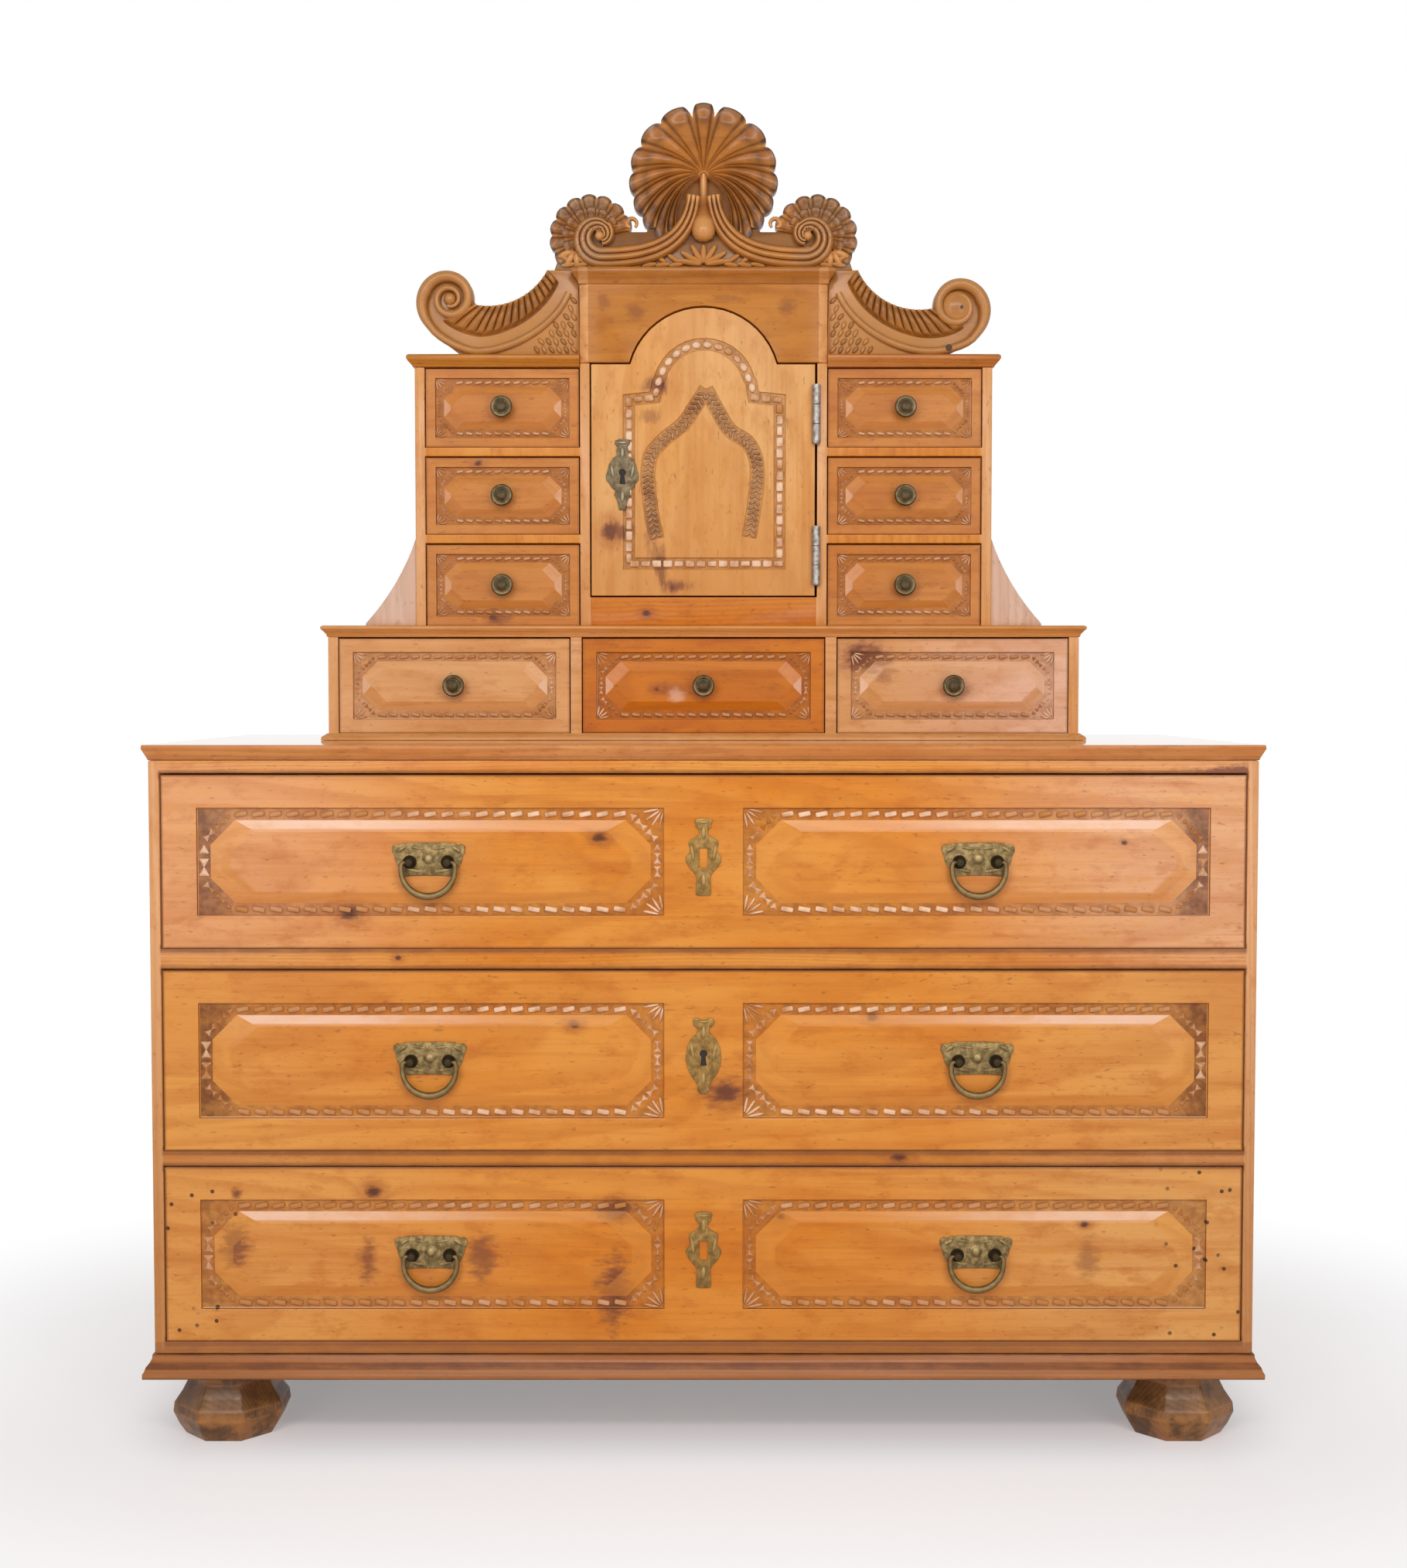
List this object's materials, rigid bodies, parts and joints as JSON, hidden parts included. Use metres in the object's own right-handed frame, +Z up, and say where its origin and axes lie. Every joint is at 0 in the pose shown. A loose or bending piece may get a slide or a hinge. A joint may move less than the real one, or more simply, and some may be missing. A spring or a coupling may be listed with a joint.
{
  "type": "cabinet on chest",
  "caption": "Carved pine chest of drawers with a stepped tier of small drawers, a hinged cupboard between drawer banks, and a shell crest with scrolled wings.",
  "frame": {"origin": "on the floor, under the middle of the whole piece's box", "axes": "+X to the viewer's right, +Y to the back, so the front faces -Y, and +Z up"},
  "size_m": [1.368, 0.5938, 1.7004],
  "materials": {
    "pine": "waxed honey-coloured pine",
    "carved_pine": "darker waxed carved pine",
    "brass": "aged and dulled",
    "steel": "bare worn steel"
  },
  "bodies": {
    "cabinet": {"foot_front_left": "pine", "foot_front_right": "pine", "foot_back_left": "pine", "foot_back_right": "pine", "base_moulding": "pine", "chest_case": "pine", "chest_back": "pine", "chest_top": "pine", "tier_case": "pine", "tier_top": "pine", "upper_case": "pine", "upper_back": "pine", "cap_left": "pine", "cap_right": "pine", "frieze_cornice": "pine", "crest": "carved_pine", "wing_left": "carved_pine", "wing_right": "carved_pine", "hinge_upper_frame_leaf": "steel", "hinge_lower_frame_leaf": "steel"},
    "large_drawer_bottom": {"drawer_large_bottom": "pine", "bail_plate_bottom_left": "brass", "bail_plate_bottom_right": "brass", "escutcheon_bottom": "brass"},
    "large_drawer_middle": {"drawer_large_middle": "pine", "bail_plate_middle_left": "brass", "bail_plate_middle_right": "brass", "escutcheon_middle": "brass"},
    "large_drawer_top": {"drawer_large_top": "pine", "bail_plate_top_left": "brass", "bail_plate_top_right": "brass", "escutcheon_top": "brass"},
    "tier_drawer_left": {"drawer_tier_left": "pine", "knob_tier_left": "brass"},
    "tier_drawer_centre": {"drawer_tier_centre": "pine", "knob_tier_centre": "brass"},
    "tier_drawer_right": {"drawer_tier_right": "pine", "knob_tier_right": "brass"},
    "bank_drawer_left_bottom": {"drawer_bank_left_bottom": "pine", "knob_bank_left_bottom": "brass"},
    "bank_drawer_left_middle": {"drawer_bank_left_middle": "pine", "knob_bank_left_middle": "brass"},
    "bank_drawer_left_top": {"drawer_bank_left_top": "pine", "knob_bank_left_top": "brass"},
    "bank_drawer_right_bottom": {"drawer_bank_right_bottom": "pine", "knob_bank_right_bottom": "brass"},
    "bank_drawer_right_middle": {"drawer_bank_right_middle": "pine", "knob_bank_right_middle": "brass"},
    "bank_drawer_right_top": {"drawer_bank_right_top": "pine", "knob_bank_right_top": "brass"},
    "cupboard_door": {"door": "pine", "escutcheon_door": "brass", "hinge_upper_door_leaf": "steel", "hinge_lower_door_leaf": "steel"},
    "pull_bottom_left": {"bail_bottom_left": "brass"},
    "pull_bottom_right": {"bail_bottom_right": "brass"},
    "pull_middle_left": {"bail_middle_left": "brass"},
    "pull_middle_right": {"bail_middle_right": "brass"},
    "pull_top_left": {"bail_top_left": "brass"},
    "pull_top_right": {"bail_top_right": "brass"}
  },
  "joints": [
    {"name": "large_drawer_bottom_slide", "type": "slide", "parent": "cabinet", "child": "large_drawer_bottom", "axis": [0, -1, 0], "range_m": [0, 0.4]},
    {"name": "large_drawer_middle_slide", "type": "slide", "parent": "cabinet", "child": "large_drawer_middle", "axis": [0, -1, 0], "range_m": [0, 0.4]},
    {"name": "large_drawer_top_slide", "type": "slide", "parent": "cabinet", "child": "large_drawer_top", "axis": [0, -1, 0], "range_m": [0, 0.4]},
    {"name": "tier_drawer_left_slide", "type": "slide", "parent": "cabinet", "child": "tier_drawer_left", "axis": [0, -1, 0], "range_m": [0, 0.22]},
    {"name": "tier_drawer_centre_slide", "type": "slide", "parent": "cabinet", "child": "tier_drawer_centre", "axis": [0, -1, 0], "range_m": [0, 0.22]},
    {"name": "tier_drawer_right_slide", "type": "slide", "parent": "cabinet", "child": "tier_drawer_right", "axis": [0, -1, 0], "range_m": [0, 0.22]},
    {"name": "bank_drawer_left_bottom_slide", "type": "slide", "parent": "cabinet", "child": "bank_drawer_left_bottom", "axis": [0, -1, 0], "range_m": [0, 0.21]},
    {"name": "bank_drawer_left_middle_slide", "type": "slide", "parent": "cabinet", "child": "bank_drawer_left_middle", "axis": [0, -1, 0], "range_m": [0, 0.21]},
    {"name": "bank_drawer_left_top_slide", "type": "slide", "parent": "cabinet", "child": "bank_drawer_left_top", "axis": [0, -1, 0], "range_m": [0, 0.21]},
    {"name": "bank_drawer_right_bottom_slide", "type": "slide", "parent": "cabinet", "child": "bank_drawer_right_bottom", "axis": [0, -1, 0], "range_m": [0, 0.21]},
    {"name": "bank_drawer_right_middle_slide", "type": "slide", "parent": "cabinet", "child": "bank_drawer_right_middle", "axis": [0, -1, 0], "range_m": [0, 0.21]},
    {"name": "bank_drawer_right_top_slide", "type": "slide", "parent": "cabinet", "child": "bank_drawer_right_top", "axis": [0, -1, 0], "range_m": [0, 0.21]},
    {"name": "cupboard_door_hinge", "type": "hinge", "parent": "cabinet", "child": "cupboard_door", "pos_m": [0.1485, -0.03895, 1.2052], "axis": [0, 0, 1], "range_deg": [0, 90]},
    {"name": "pull_bottom_left_swing", "type": "hinge", "parent": "large_drawer_bottom", "child": "pull_bottom_left", "pos_m": [-0.3323, -0.29245, 0.24015], "axis": [-1, 0, 0], "range_deg": [0, 90]},
    {"name": "pull_bottom_right_swing", "type": "hinge", "parent": "large_drawer_bottom", "child": "pull_bottom_right", "pos_m": [0.3323, -0.29245, 0.24015], "axis": [-1, 0, 0], "range_deg": [0, 90]},
    {"name": "pull_middle_left_swing", "type": "hinge", "parent": "large_drawer_middle", "child": "pull_middle_left", "pos_m": [-0.3323, -0.29245, 0.47815], "axis": [-1, 0, 0], "range_deg": [0, 90]},
    {"name": "pull_middle_right_swing", "type": "hinge", "parent": "large_drawer_middle", "child": "pull_middle_right", "pos_m": [0.3323, -0.29245, 0.47815], "axis": [-1, 0, 0], "range_deg": [0, 90]},
    {"name": "pull_top_left_swing", "type": "hinge", "parent": "large_drawer_top", "child": "pull_top_left", "pos_m": [-0.3323, -0.29245, 0.72065], "axis": [-1, 0, 0], "range_deg": [0, 90]},
    {"name": "pull_top_right_swing", "type": "hinge", "parent": "large_drawer_top", "child": "pull_top_right", "pos_m": [0.3323, -0.29245, 0.72065], "axis": [-1, 0, 0], "range_deg": [0, 90]}
  ]
}
